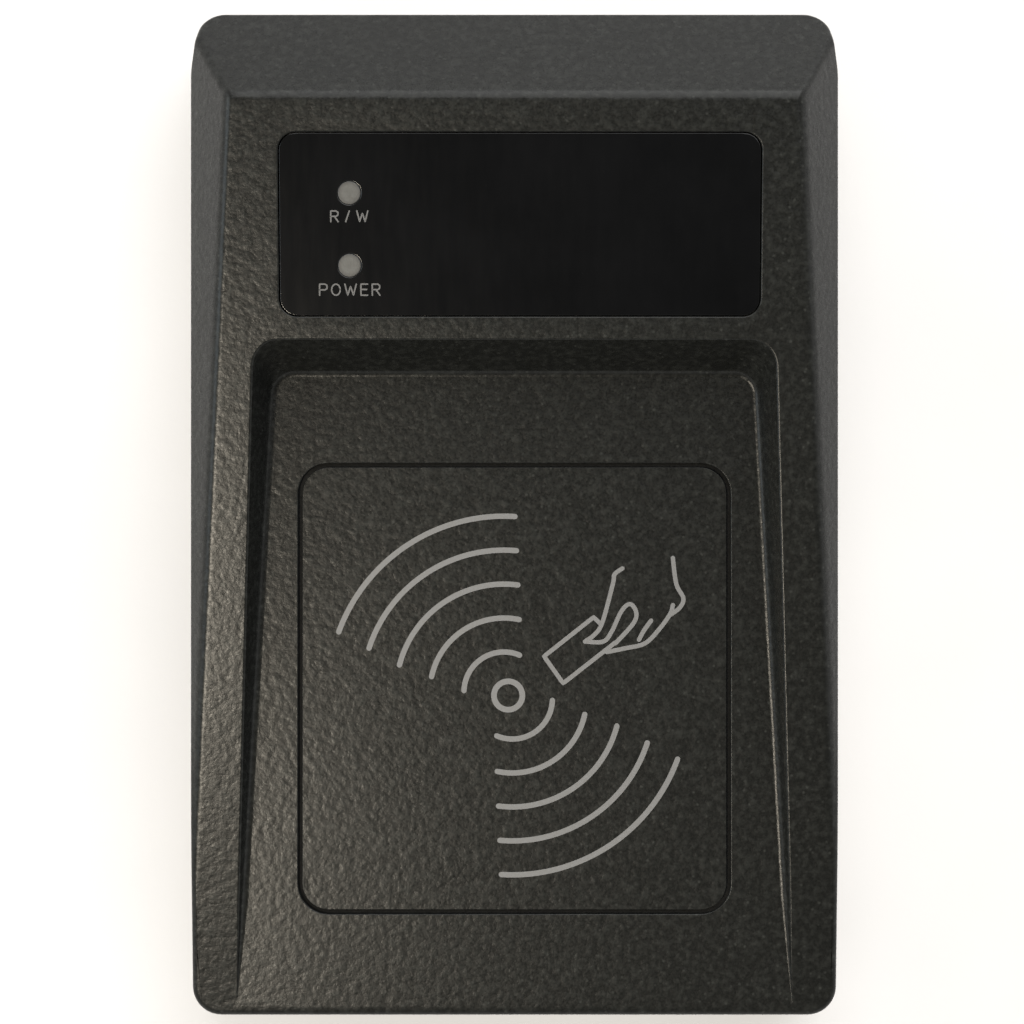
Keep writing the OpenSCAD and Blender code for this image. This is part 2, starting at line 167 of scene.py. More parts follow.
def tray_foot(i, inset, front_y):
    """(foot point, wall's run per unit of lift, outward normal) of the tray wall at station i."""
    cx, cy = TRAY_CX - TRAY_RUN_X * inset, TRAY_CY - TRAY_RUN_Y * inset
    r = TRAY_R + inset
    if i < CORNER_START:
        normal = (cos(TRAY_FLARE), sin(TRAY_FLARE))
        end = (cx + r * normal[0], cy + r * normal[1])
        fade_y = max(TRAY_Z - FRONT_H, 0) / tan(TOP_TILT) - HALF_L
        fade_y = max(fade_y, front_y + 0.3)
        y = lerp(front_y, fade_y, i / 2) if i < 3 else lerp(fade_y, end[1], (i - 2) / (CORNER_START - 2))
        x = end[0] + (end[1] - y) * tan(TRAY_FLARE)
        straight = TRAY_RUN_X * normal[0] + TRAY_RUN_Y * normal[1]
        along = (TRAY_RUN_Y * normal[0] - TRAY_RUN_X * normal[1]) * (i / CORNER_START) ** 4
        run = (straight * normal[0] - along * normal[1], straight * normal[1] + along * normal[0])
        return (x, y), run, normal
    if i <= CORNER_END:
        a = lerp(TRAY_FLARE, pi / 2, (i - CORNER_START) / CORNER_STEPS)
        normal = (cos(a), sin(a))
        return (cx + r * normal[0], cy + r * normal[1]), (TRAY_RUN_X, TRAY_RUN_Y), normal
    t = (i - CORNER_END) / REAR_STEPS
    return (lerp(cx, 0, t), cy + r), (TRAY_RUN_X * (1 - t), TRAY_RUN_Y), (0.0, 1.0)


def tray_section(i, inset, front_y):
    """Points from the tray floor up its wall to the top face, with a fillet at the foot and a rounded rim."""
    (fx, fy), (rx, ry), (nx, ny) = tray_foot(i, inset, front_y)
    floor = min(TRAY_Z - inset, top_height(fy, inset))
    lift = max((top_height(fy, inset) - floor) / (1 - tan(TOP_TILT) * ry), 0.0)
    run = rx * nx + ry * ny
    wall = atan2(1.0, run)
    roof = atan(tan(TOP_TILT) * ny)
    length = lift * hypot(1.0, run)
    foot_r, rim_r = TRAY_FOOT_R, TRAY_RIM_R
    foot_t, rim_t = foot_r * tan(wall / 2), rim_r * tan((wall - roof) / 2)
    share = min(1.0, 0.9 * length / (foot_t + rim_t))
    foot_r, rim_r, foot_t, rim_t = foot_r * share, rim_r * share, foot_t * share, rim_t * share
    steps = [k / FILLET_STEPS for k in range(FILLET_STEPS + 1)]
    flat = [(-foot_t + foot_r * sin(wall * t), foot_r * (1 - cos(wall * t))) for t in steps]
    start = (run * lift - rim_t * cos(wall), lift - rim_t * sin(wall))
    centre = (start[0] + rim_r * sin(wall), start[1] - rim_r * cos(wall))
    bends = [lerp(wall, roof, t) for t in steps]
    rim = [(centre[0] - rim_r * sin(b), centre[1] + rim_r * cos(b)) for b in bends]
    middle = [(lerp(flat[-1][0], rim[0][0], t), lerp(flat[-1][1], rim[0][1], t)) for t in (1 / 3, 2 / 3)]
    section = []
    for q, up in flat + middle + rim:
        drift = min(max(up, 0.0), lift)
        x = fx + nx * q + (rx - nx * run) * drift
        y = fy + ny * q + (ry - ny * run) * drift
        section.append((x, y, floor + up))
    return section


def crease_x(y, off, inset):
    """Half width of the top face at y, moved off outwards."""
    slack = inset / cos(CHAMFER_LEAN) - inset
    return HALF_W - tan(CHAMFER_LEAN) * (top_height(y) - SIDE_H) + off - slack


def crease_section(i, inset, edge):
    """Points across the crease between the top face and the chamfer or shoulder."""
    rise = REAR_H - FRONT_H + (tan(SHOULDER_TILT) - tan(TOP_TILT)) * HALF_L
    crease_y = rise / (tan(SHOULDER_TILT) + tan(TOP_TILT))
    outer_y = OUTLINE[i][0][1]
    section = []
    for k in range(CREASE_LEVELS):
        t = k / (CREASE_LEVELS - 1)
        off = lerp(-1.0, 1.0, t) - inset
        rear_y = crease_y + off
        if i <= CORNER_START:
            start_y = FRONT_R - HALF_L
            if i <= ARC_STEPS:
                y = edge[1]
                limit = edge[0]
            else:
                share = (outer_y - start_y) / (OUTLINE[CORNER_START][0][1] - start_y)
                y = lerp(start_y, rear_y - 0.25 * MITRE_STEP, share)
                limit = HALF_W - inset - EDGE_ROUND / 2
            x = min(crease_x(y, off, inset), limit - lerp(1.5, 0.25, t))
        elif i <= CORNER_START + MITRE_STEP:
            y = rear_y - 0.25 * (CORNER_START + MITRE_STEP - i)
            x = crease_x(y, off, inset)
        else:
            y = rear_y
            corner = crease_x(rear_y, off, inset)
            if i <= CORNER_END:
                x = corner - 0.3 * (i - CORNER_START - MITRE_STEP)
            else:
                first = corner - 0.3 * (CORNER_STEPS - MITRE_STEP)
                x = lerp(first, 0, (i - CORNER_END) / REAR_STEPS)
        section.append((x, y, body_height(x, y, inset)))
    return section


def edge_slope(point, normal, inset):
    """Downward angle of the roof, going outwards, just inside the outline."""
    (x, y), (nx, ny) = point, normal
    near, far = [body_height(x - nx * d, y - ny * d, inset) for d in (inset + 0.3, inset + 0.9)]
    return atan((far - near) / 0.6)


def solid(name, vertices, faces, merge=0.002):
    """A closed mesh object from millimetre vertices, with outward normals."""
    made = bmesh.new()
    points = [made.verts.new(Vector(v) * MM) for v in vertices]
    for face in faces:
        made.faces.new([points[k] for k in face])
    bmesh.ops.remove_doubles(made, verts=made.verts, dist=merge * MM)
    bmesh.ops.dissolve_degenerate(made, dist=merge * MM, edges=made.edges)
    bmesh.ops.recalc_face_normals(made, faces=made.faces)
    mesh = bpy.data.meshes.new(name)
    made.to_mesh(mesh)
    made.free()
    thing = bpy.data.objects.new(name, mesh)
    bpy.context.scene.collection.objects.link(thing)
    return thing


def roof_solid(name, inset, rings):
    """The case's form from its roof down. rings gives the later loops as (inset from the outline, height)."""
    rounding = EDGE_ROUND if inset == 0 else 0.0
    slopes = [edge_slope(p, n, inset) for p, n in OUTLINE]
    depths = [inset + rounding * (1 - sin(a)) for a in slopes]
    edges = [(p[0] - n[0] * d, p[1] - n[1] * d) for (p, n), d in zip(OUTLINE, depths)]
    front_y = edges[0][1]
    right = []
    for i in range(LAST + 1):
        x, y = edges[i]
        levels = tray_section(i, inset, front_y) + crease_section(i, inset, edges[i])
        right.append(levels + [(x, y, body_height(x, y, inset))])
    left = [[(-x, y, z) for x, y, z in levels] for levels in reversed(right[:-1])]
    grid = right + left
    wide, deep = len(grid), len(grid[0])
    vertices = [v for levels in grid for v in levels]
    faces = []
    for i in range(wide - 1):
        for k in range(deep - 1):
            a = i * deep + k
            faces.append((a, a + 1, a + deep + 1, a + deep))
    far = (wide - 1) * deep
    for i in range(2):
        faces.append((i * deep, (i + 1) * deep, far - (i + 1) * deep, far - i * deep))
    faces.append([i * deep for i in range(2, wide - 2)])

    loop = [i * deep + deep - 1 for i in range(wide)]
    loop += [far + k for k in range(deep - 2, -1, -1)] + list(range(deep - 1))
    marks = []
    for place, index in enumerate(loop):
        x, y, z = vertices[index]
        if place < wide:
            i = min(place, wide - 1 - place)
            side = 1 if place <= LAST else -1
            (px, py), (nx, ny) = OUTLINE[i]
            marks.append((side * px, py, side * nx, ny, slopes[i], z))
        else:
            marks.append((x, -HALF_L, 0.0, -1.0, slopes[0], z))
    bends = [] if inset else [k / 5 for k in range(1, 6)]
    loops = [loop]
    for t in bends:
        ring = []
        for px, py, nx, ny, slope, z in marks:
            bend = lerp(slope, pi / 2, t)
            off = rounding * (1 - sin(bend))
            drop = rounding * (cos(slope) - cos(bend))
            ring.append(len(vertices))
            vertices.append((px - nx * off, py - ny * off, z - drop))
        loops.append(ring)
    for off, height in rings:
        ring = []
        for px, py, nx, ny, _, _ in marks:
            ring.append(len(vertices))
            vertices.append((px - nx * off, py - ny * off, height))
        loops.append(ring)
    count = len(loop)
    for upper, lower in zip(loops, loops[1:]):
        for k in range(count):
            m = (k + 1) % count
            faces.append((upper[k], lower[k], lower[m], upper[m]))
    faces.append(loops[-1])
    return solid(name, vertices, faces)


def rounded_rectangle(width, length, radius, steps=10):
    points = []
    for turn, (sx, sy) in enumerate([(1, 1), (-1, 1), (-1, -1), (1, -1)]):
        for k in range(steps + 1):
            a = (turn + k / steps) * pi / 2
            points.append(
                (sx * (width / 2 - radius) + radius * cos(a), sy * (length / 2 - radius) + radius * sin(a))
            )
    return points


def circle(radius, steps=48):
    return [(radius * cos(2 * pi * k / steps), radius * sin(2 * pi * k / steps)) for k in range(steps)]


def loft(name, loops):
    """A closed solid through loops that all have the same number of points."""
    count = len(loops[0])
    vertices = [v for loop in loops for v in loop]
    faces = [list(range(count)), [len(vertices) - 1 - k for k in range(count)]]
    for j in range(len(loops) - 1):
        for k in range(count):
            a, b = j * count + k, j * count + (k + 1) % count
            faces.append((a, b, b + count, a + count))
    return solid(name, vertices, faces, merge=0.0001)


def lipped(depth, gap, lip):
    """(height, growth) of a pocket's wall below a face at height 0, with a rounded lip that goes on up."""
    wall = [(-depth, gap), (-lip, gap)]
    rolled = [(-lip + lip * sin(a), gap + lip * (1 - cos(a))) for a in (pi / 8, pi / 4, 3 * pi / 8)]
    return wall + rolled + [(0.0, gap + 0.9 * lip), (0.6, gap + 3 * lip)]


def on_top_face(x, along, up):
    """A point in the plane of the sloped top face, from its front edge, as a point in the model's frame."""
    return (
        x,
        -HALF_L + along * cos(TOP_TILT) - up * sin(TOP_TILT),
        FRONT_H + along * sin(TOP_TILT) + up * cos(TOP_TILT),
    )


def apply_modifiers(thing):
    graph = bpy.context.evaluated_depsgraph_get()
    mesh = bpy.data.meshes.new_from_object(thing.evaluated_get(graph))
    thing.modifiers.clear()
    thing.data = mesh


def combine(target, tools):
    """Cuts or joins each (tool, operation) into target, then removes the tools."""
    for tool, operation in tools:
        step = target.modifiers.new(tool.name, "BOOLEAN")
        step.solver = "MANIFOLD"
        step.operation = operation
        step.object = tool
    apply_modifiers(target)
    for tool, _ in tools:
        bpy.data.objects.remove(tool)


def shade(thing, angle=32):
    """Smooth faces with sharp edges where the surface turns by more than angle."""
    made = bmesh.new()
    made.from_mesh(thing.data)
    for face in made.faces:
        face.smooth = True
    for edge in made.edges:
        edge.smooth = len(edge.link_faces) == 2 and edge.calc_face_angle(0) < radians(angle)
    made.to_mesh(thing.data)
    made.free()
    weighted = thing.modifiers.new("weighted normals", "WEIGHTED_NORMAL")
    weighted.keep_sharp = True
    weighted.weight = 60


def make_top_shell():
    shell = roof_solid("case_top", 0, [(0.0, SEAM_Z + 0.15), (0.15, SEAM_Z)])
    cavity = roof_solid("cavity", WALL, [(WALL, SEAM_Z + 1.3), (0.95, SEAM_Z + 1.3), (0.95, BOTTOM_Z - 1)])
    tools = [(cavity, "DIFFERENCE")]

    _, screw_high = box_mm("case_screws")
    head_r = 2.3
    boss_x, boss_y = screw_high.x - head_r, screw_high.y - head_r
    bore_top = screw_high.z + 0.4
    for x, y in [(sx * boss_x, sy * boss_y) for sx in (-1, 1) for sy in (-1, 1)]:
        ring = [(x + px, y + py) for px, py in circle(3.0)]
        ceiling = TRAY_Z - 1 if y < 0 else case_high.z
        foot = [(px, py, BOTTOM_Z) for px, py in ring]
        head = [(px, py, min(body_height(px, py, 1.0), ceiling)) for px, py in ring]
        tools.append((loft("boss", [foot, head]), "UNION"))
        bore = [(x + px, y + py) for px, py in circle(1.3, 32)]
        loops = [[(*p, z) for p in bore] for z in (BOTTOM_Z - 1, bore_top)]
        tools.append((loft("bore", loops), "DIFFERENCE"))

    window_w, window_x = window_high.x - window_low.x, (window_high.x + window_low.x) / 2
    length = (window_high.y - window_low.y - WINDOW_T * sin(TOP_TILT)) / cos(TOP_TILT)
    mid_y = (window_high.y + window_low.y - (2 * WINDOW_SINK + WINDOW_T) * sin(TOP_TILT)) / 2
    along = (mid_y + HALF_L) / cos(TOP_TILT)
    loops = []
    for up, grow in lipped(WINDOW_SINK + WINDOW_T, 0.12, 0.16):
        flat = rounded_rectangle(window_w + 2 * grow, length + 2 * grow, 1.9 + grow)
        loops.append([on_top_face(window_x + x, along + y, up) for x, y in flat])
    tools.append((loft("window_pocket", loops), "DIFFERENCE"))

    label_w, label_l = label_high.x - label_low.x, label_high.y - label_low.y
    loops = []
    for up, grow in lipped(TRAY_Z - label_low.z, LABEL_GAP, 0.14):
        flat = rounded_rectangle(label_w + 2 * grow, label_l + 2 * grow, 3 + grow)
        loops.append([(x, LABEL_Y + y, TRAY_Z + up) for x, y in flat])
    tools.append((loft("label_pocket", loops), "DIFFERENCE"))

    for low, high in pipe_boxes:
        x, y = (low.x + high.x) / 2, (low.y + high.y) / 2
        hole = [(x + px, y + py) for px, py in circle(1.4)]
        tools.append((loft("spot_hole", [[(*p, z) for p in hole] for z in (BOTTOM_Z, 24)]), "DIFFERENCE"))

    slot_w, slot_top = socket_high.x - socket_low.x + 0.7, socket_high.z + 0.35
    loops = []
    for back, grow in [(3.0, 0.0), (0.2, 0.0), (0.08, 0.06), (0.0, 0.16), (-0.6, 0.6)]:
        flat = rounded_rectangle(slot_w + 2 * grow, 2 * (slot_top - BOTTOM_Z + grow), 0.5 + grow, 5)
        loops.append([(x, HALF_L - back, BOTTOM_Z + z) for x, z in flat])
    tools.append((loft("socket_slot", loops), "DIFFERENCE"))

    combine(shell, tools)
    shade(shell)
    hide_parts("top_shell")
    return shell


# ---------------------------------------------------------------- printed marks
def between(p, q, r, s, t):
    """Catmull-Rom value from q to r."""
    square, cube = 2 * p - 5 * q + 4 * r - s, 3 * q - p - 3 * r + s
    return 0.5 * (2 * q + (r - p) * t + square * t**2 + cube * t**3)


def smoothed(points, steps=8):
    """A curve through the points."""
    ends = [points[0]] + list(points) + [points[-1]]
    curve = []
    for near in zip(ends, ends[1:], ends[2:], ends[3:]):
        xs, ys = zip(*near)
        curve += [(between(*xs, k / steps), between(*ys, k / steps)) for k in range(steps)]
    return curve + [points[-1]]


def arc_points(cx, cy, radius, a0, a1, steps=48):
    return [
        (cx + radius * cos(lerp(a0, a1, k / steps)), cy + radius * sin(lerp(a0, a1, k / steps)))
        for k in range(steps + 1)
    ]


def stroke_outline(points, width):
    """The outline of a pen stroke of that width with round ends."""
    half = width / 2
    count = len(points)
    normals = []
    for k in range(count):
        (x0, y0), (x1, y1) = points[max(k - 1, 0)], points[min(k + 1, count - 1)]
        d = hypot(x1 - x0, y1 - y0)
        normals.append(((y0 - y1) / d, (x1 - x0) / d))
    left = [(x + nx * half, y + ny * half) for (x, y), (nx, ny) in zip(points, normals)]
    right = [(x - nx * half, y - ny * half) for (x, y), (nx, ny) in zip(points, normals)]

    def cap(point, normal):
        start = atan2(normal[1], normal[0])
        turns = [start - pi * k / 6 for k in range(1, 6)]
        return [(point[0] + half * cos(a), point[1] + half * sin(a)) for a in turns]

    end = cap(points[-1], normals[-1])
    begin = cap(points[0], (-normals[0][0], -normals[0][1]))
    return left, end, right, begin


def print_marks(name, strokes, place, thickness=0.03):
    """One mesh of printed strokes. place turns (x, y, height) on the printed face into the model's frame."""
    vertices, faces = [], []
    for order, (points, width) in enumerate(strokes):
        left, end, right, begin = stroke_outline(points, width)
        top = thickness + 0.0015 * order
        sides = left + end + right[::-1] + begin
        first = len(vertices)
        vertices += [place(x, y, top) for x, y in sides] + [place(x, y, 0.004) for x, y in sides]
        total, count = len(sides), len(left)
        for level in (0, total):
            for k in range(count - 1):
                m = total - len(begin) - 1 - k
                faces.append([first + level + j for j in (k, k + 1, m - 1, m)])
            tip = [count - 1 + j for j in range(len(end) + 2)]
            tail = [total - len(begin) - 1 + j for j in range(len(begin) + 1)] + [0]
            faces += [[first + level + j for j in tip], [first + level + j for j in tail]]
        for k in range(total):
            m = (k + 1) % total
            faces.append((first + k, first + m, first + m + total, first + k + total))
    return solid(name, vertices, faces, merge=0.00001)


def wave_strokes():
    """A ring and two fans of five arcs, the second turned half round the ring."""
    ring_x, ring_y = -0.72, -0.8
    strokes = [(arc_points(ring_x, ring_y, 1.63, a, a + 1.01 * pi, 32), 0.66) for a in (0, pi)]
    ends = [178, 168, 165.5, 162, 160]
    for i, end in enumerate(ends):
        radius = 4.6 + 3.9 * i
        start = atan2(radius, 1.95 - 0.17 * i)
        arc = arc_points(-1.2, -0.4, radius, start, radians(end))
        strokes.append((arc, 0.62))
        strokes.append(([(2 * ring_x - x, 2 * ring_y - y) for x, y in arc], 0.62))
    return strokes


def hand_strokes():
    """A card held by a simple hand, drawn in line."""
    thumb = [(8.1, 5.4), (10.2, 5.4), (11.2, 6.6), (12.3, 8.9), (13.3, 9.7)]
    thumb += [(14.0, 8.7), (13.6, 7.4), (11.6, 5.2)]
    lines = [
        [(9.9, 7.4), (9.1, 8.2), (3.4, 3.7), (5.6, 0.6), (11.6, 5.3)],
        smoothed([(12.4, 13.8), (11.5, 13.1), (11.3, 12.0), (10.1, 7.6), (9.2, 6.2), (8.1, 5.4)]),
        smoothed(thumb),
        smoothed([(10.6, 4.2), (12.6, 4.6), (15.0, 5.2), (16.7, 6.9), (17.9, 8.6), (18.2, 9.6)]),
        smoothed([(14.3, 5.6), (14.9, 6.7), (15.7, 7.8)]),
        smoothed([(18.2, 15.0), (18.6, 12.0), (19.4, 10.4), (19.0, 9.3), (17.8, 8.4)]),
    ]
    return [(dense(line), 0.5) for line in lines]


def dense(line, step=0.25):
    """The same line with points at most step apart, so that its corners stay sharp."""
    found = [line[0]]
    for (x0, y0), (x1, y1) in zip(line, line[1:]):
        parts = max(1, int(hypot(x1 - x0, y1 - y0) / step))
        found += [(lerp(x0, x1, k / parts), lerp(y0, y1, k / parts)) for k in range(1, parts + 1)]
    return found


LETTERS = {
    "P": [[(0, 0), (0, 1), (0.45, 1), (0.62, 0.88), (0.62, 0.6), (0.45, 0.48), (0, 0.48)]],
    "O": [[(0.36 + 0.36 * cos(radians(a)), 0.5 + 0.5 * sin(radians(a))) for a in range(0, 361, 20)]],
    "W": [[(0, 1), (0.24, 0), (0.48, 0.8), (0.72, 0), (0.96, 1)]],
    "E": [[(0.56, 1), (0, 1), (0, 0), (0.56, 0)], [(0, 0.52), (0.48, 0.52)]],
    "R": [
        [(0, 0), (0, 1), (0.45, 1), (0.62, 0.88), (0.62, 0.62), (0.45, 0.5), (0, 0.5)],
        [(0.32, 0.5), (0.64, 0)],
    ],
    "/": [[(0, 0), (0.32, 1)]],
}


def letter_strokes(word, width, height, middle_x, middle_y, pen=0.17):
    """The word in thin strokes, spaced out to that width."""
    height, width, wide = height - pen, width - pen, 1.08 * (height - pen)
    widths = [max(x for line in LETTERS[c] for x, _ in line) * wide for c in word]
    gap = (width - sum(widths)) / (len(word) - 1)
    x, y = middle_x - width / 2, middle_y - height / 2
    strokes = []
    for c, advance in zip(word, widths):
        for line in LETTERS[c]:
            strokes.append((dense([(x + px * wide, y + py * height) for px, py in line], 0.1), pen))
        x += advance + gap
    return strokes


# ---------------------------------------------------------------- materials
def scaled(colour, factor):
    return tuple(c * factor for c in colour)


class Paint:
    """A procedural material on the Principled shader, in the model's own coordinates."""

    def __init__(self, name, **values):
        self.material = bpy.data.materials.new(name)
        self.material.use_nodes = True
        self.nodes = self.material.node_tree.nodes
        self.links = self.material.node_tree.links
        self.shader = self.nodes["Principled BSDF"]
        self.place = self.nodes.new("ShaderNodeTexCoord").outputs["Object"]
        for key, value in values.items():
            self.shader.inputs[key.replace("_", " ")].default_value = value

    def put(self, value, socket):
        if hasattr(value, "is_output"):
            self.links.new(value, socket)
        else:
            socket.default_value = value

    def node(self, kind, inputs, output=0, **settings):
        made = self.nodes.new("ShaderNode" + kind)
        for key, value in settings.items():
            setattr(made, key, value)
        for key, value in inputs.items():
            self.put(value, made.inputs[key])
        return made.outputs[output]

    def noise(self, size_mm, detail=2.0, rough=0.5, stretch=(1, 1, 1)):
        where = self.place
        if stretch != (1, 1, 1):
            where = self.node("Mapping", {"Vector": where, "Scale": stretch})
        inputs = {"Vector": where, "Scale": 1 / (size_mm * MM), "Detail": detail, "Roughness": rough}
        return self.node("TexNoise", inputs)

    def cells(self, size_mm, feature="F1", output=0, smooth=0.0):
        inputs = {"Vector": self.place, "Scale": 1 / (size_mm * MM)}
        if feature == "SMOOTH_F1":
            inputs["Smoothness"] = smooth
        return self.node("TexVoronoi", inputs, output, feature=feature)

    def math(self, operation, a, b=0.0, clamp=False):
        return self.node("Math", {0: a, 1: b}, operation=operation, use_clamp=clamp)

    def remap(self, value, low, high, to_low, to_high):
        inputs = {"Value": value, "From Min": low, "From Max": high, "To Min": to_low, "To Max": to_high}
        return self.node("MapRange", inputs)

    def mix(self, share, a, b):
        made = self.nodes.new("ShaderNodeMix")
        made.data_type = "RGBA"
        self.put(share, made.inputs[0])
        for value, socket in ((a, made.inputs[6]), (b, made.inputs[7])):
            self.put(value if hasattr(value, "is_output") else (*value, 1), socket)
        return made.outputs[2]

    def colour(self, value):
        self.put(value, self.shader.inputs["Base Color"])

    def rough(self, value):
        self.put(value, self.shader.inputs["Roughness"])

    def bump(self, height, depth_mm, strength=1.0):
        inputs = {"Height": height, "Distance": depth_mm * MM, "Strength": strength}
        previous = self.shader.inputs["Normal"].links
        if previous:
            inputs["Normal"] = previous[0].from_socket
        self.put(self.node("Bump", inputs), self.shader.inputs["Normal"])

    def band(self, axis, centre_mm, half_mm):
        """1 outside half_mm of centre_mm along an axis, and 0 inside."""
        part = self.node("SeparateXYZ", {0: self.place}, "XYZ".index(axis))
        away = self.math("ABSOLUTE", self.math("SUBTRACT", part, centre_mm * MM))
        return self.math("GREATER_THAN", away, half_mm * MM)


def grained_plastic(name, colour, grain_mm, depth_mm, rough):
    """Moulded plastic with a leathery grain and faint mottling, painted highlights as small bright glints,
    and painted shade in the groove round the label.
    """
    p = Paint(name, Specular_IOR_Level=0.18)
    grain = p.noise(grain_mm, 2, 0.5)
    domes = p.cells(grain_mm * 1.3, "SMOOTH_F1", smooth=0.5)
    fine = p.noise(grain_mm / 2.5, 2, 0.5)
    patches = p.noise(4.0, 3, 0.6)
    # painted highlights: bright specks at the cell centres stand in for grain peaks catching the light
    painted_glints = p.cells(grain_mm * 1.5)
    light = scaled(colour, 4.0)
    dark = scaled(colour, 0.8)
    base = p.mix(p.remap(grain, 0.44, 0.74, 0, 1), dark, scaled(colour, 1.9))
    base = p.mix(p.remap(patches, 0.3, 0.7, 0, 0.25), base, dark)
    # the painted glints lighten the colour fourfold at the cell centres
    base = p.mix(p.remap(painted_glints, 0.0, 0.2, 0.7, 0), base, light)
    # painted shade: a mask of everything below the label's top within reach of the pocket round the label
    reach = LABEL_GAP + 0.1
    beside_x = p.band("X", 0, label_high.x + reach)
    beside_y = p.band("Y", LABEL_Y, label_high.y - LABEL_Y + reach)
    deep = p.math("LESS_THAN", p.node("SeparateXYZ", {0: p.place}, 2), (label_high.z - 0.06) * MM)
    painted_groove_shade = p.math("SUBTRACT", deep, p.math("MAXIMUM", beside_x, beside_y), clamp=True)
    # the painted shade turns the groove and the label's edges near black, and rougher
    p.colour(p.mix(p.math("MULTIPLY", painted_groove_shade, 0.8), base, (0.0005, 0.0005, 0.0005)))
    sheen = p.remap(fine, 0.3, 0.7, rough - 0.07, rough + 0.07)
    p.rough(p.math("ADD", sheen, p.math("MULTIPLY", painted_groove_shade, 0.5)))
    height = p.math("ADD", grain, p.math("MULTIPLY", fine, 0.25))
    p.bump(p.math("SUBTRACT", height, p.math("MULTIPLY", domes, 0.5)), depth_mm)
    return p.material


def gloss_window():
    p = Paint("window_gloss", Specular_IOR_Level=0.4, Coat_Weight=0.1, Coat_Roughness=0.05)
    haze = p.noise(9.0, 4, 0.6)
    dust = p.cells(1.3)
    wipe = p.noise(0.9, 3, 0.5, (1, 0.12, 1))
    base = p.mix(p.remap(haze, 0.3, 0.7, 0, 1), (0.0018, 0.0019, 0.0021), (0.003, 0.0031, 0.0034))
    p.colour(p.mix(p.remap(dust, 0.0, 0.035, 0.35, 0), base, (0.05, 0.05, 0.05)))
    p.rough(p.remap(wipe, 0.3, 0.7, 0.12, 0.145))
    p.bump(p.noise(2.5, 2), 0.004)
    return p.material


def ink(name, level):
    p = Paint(name)
    wear = p.noise(0.35, 3, 0.6)
    p.colour(p.mix(p.remap(wear, 0.35, 0.7, 0, 1), (level * 0.86,) * 3, (level, level * 1.01, level * 1.03)))
    p.rough(p.remap(wear, 0.3, 0.7, 0.5, 0.65))
    p.bump(wear, 0.01)
    return p.material


def frosted_pipe(name, low, high):
    """Frosted rod with painted shade: darker towards its rim, and a darker spot over the diode below."""
    p = Paint(name, IOR=1.49)
    centre = ((low.x + high.x) / 2 * MM, (low.y + high.y) / 2 * MM, 0)
    offset = p.node("VectorMath", {0: p.place, 1: centre}, operation="SUBTRACT")
    flat = p.node("VectorMath", {0: offset, 1: (1, 1, 0)}, operation="MULTIPLY")
    away = p.node("VectorMath", {0: flat}, "Value", operation="LENGTH")
    haze = p.noise(0.5, 3, 0.6)
    base = p.mix(p.remap(haze, 0.3, 0.7, 0, 1), (0.042, 0.043, 0.041), (0.06, 0.061, 0.058))
    # painted shade: a darker spot in the middle, over the diode
    base = p.mix(p.remap(away, 0.0, 0.0005, 0.35, 0), base, (0.03, 0.03, 0.029))
    # painted shade: the colour darkens towards the rod's rim
    p.colour(p.mix(p.remap(away, 0.0008, 0.0012, 0, 0.85), base, (0.02, 0.02, 0.02)))
    p.rough(p.remap(haze, 0.3, 0.7, 0.4, 0.55))
    p.bump(p.noise(0.15, 2), 0.01)
    return p.material


def plain_plastic(name, colour, rough, grain_mm=0.15, depth_mm=0.006):
    p = Paint(name)
    cloud = p.noise(2.0, 4, 0.6)
    grain = p.noise(grain_mm, 3, 0.55)
    p.colour(p.mix(p.remap(cloud, 0.3, 0.7, 0, 1), scaled(colour, 0.8), scaled(colour, 1.2)))
    p.rough(p.remap(grain, 0.3, 0.7, rough - 0.06, rough + 0.08))
    p.bump(grain, depth_mm)
    return p.material


def rubber():
    p = Paint("foot_rubber", Sheen_Weight=0.15)
    bloom = p.noise(1.6, 4, 0.65)
    pores = p.cells(0.3, "SMOOTH_F1", smooth=0.4)
    p.colour(p.mix(p.remap(bloom, 0.35, 0.75, 0, 1), (0.012, 0.012, 0.012), (0.03, 0.029, 0.028)))
    p.rough(p.remap(bloom, 0.3, 0.7, 0.75, 0.92))
    p.bump(pores, 0.02)
    return p.material


def metal(name, colour, rough, stretch=(1, 1, 1), size_mm=0.4):
    """Drawn or brushed metal: streaks in the roughness, faint tarnish in the colour."""
    p = Paint(name, Metallic=1.0)
    streaks = p.noise(size_mm, 4, 0.6, stretch)
    tarnish = p.noise(1.5, 3, 0.6)
    p.colour(p.mix(p.remap(tarnish, 0.3, 0.75, 0, 1), colour, scaled(colour, 0.75)))
    p.rough(p.remap(streaks, 0.3, 0.7, rough - 0.08, rough + 0.1))
    p.bump(streaks, 0.004)
    return p.material


def board_laminate():
    p = Paint("board_laminate", Coat_Weight=0.4, Coat_Roughness=0.15)
    threads = {"Vector": p.place, "Scale": 320.0, "Distortion": 1.0}
    weave_x = p.node("TexWave", threads, 1, bands_direction="X")
    weave_y = p.node("TexWave", threads, 1, bands_direction="Y")
    weave = p.math("MULTIPLY", weave_x, weave_y)
    grid = {"Scale": 1.0, "Mortar Size": 0.18 * MM, "Brick Width": 4.6 * MM, "Row Height": 2.1 * MM}
    tracks = p.node("TexBrick", {"Vector": p.place, **grid}, 1)
    base = p.mix(p.remap(weave, 0, 1, 0, 1), (0.008, 0.075, 0.03), (0.012, 0.11, 0.045))
    p.colour(p.mix(tracks, base, (0.02, 0.17, 0.07)))
    p.rough(p.remap(p.noise(0.8, 3), 0.3, 0.7, 0.28, 0.4))
    p.bump(weave, 0.004)
    p.bump(tracks, 0.02)
    return p.material


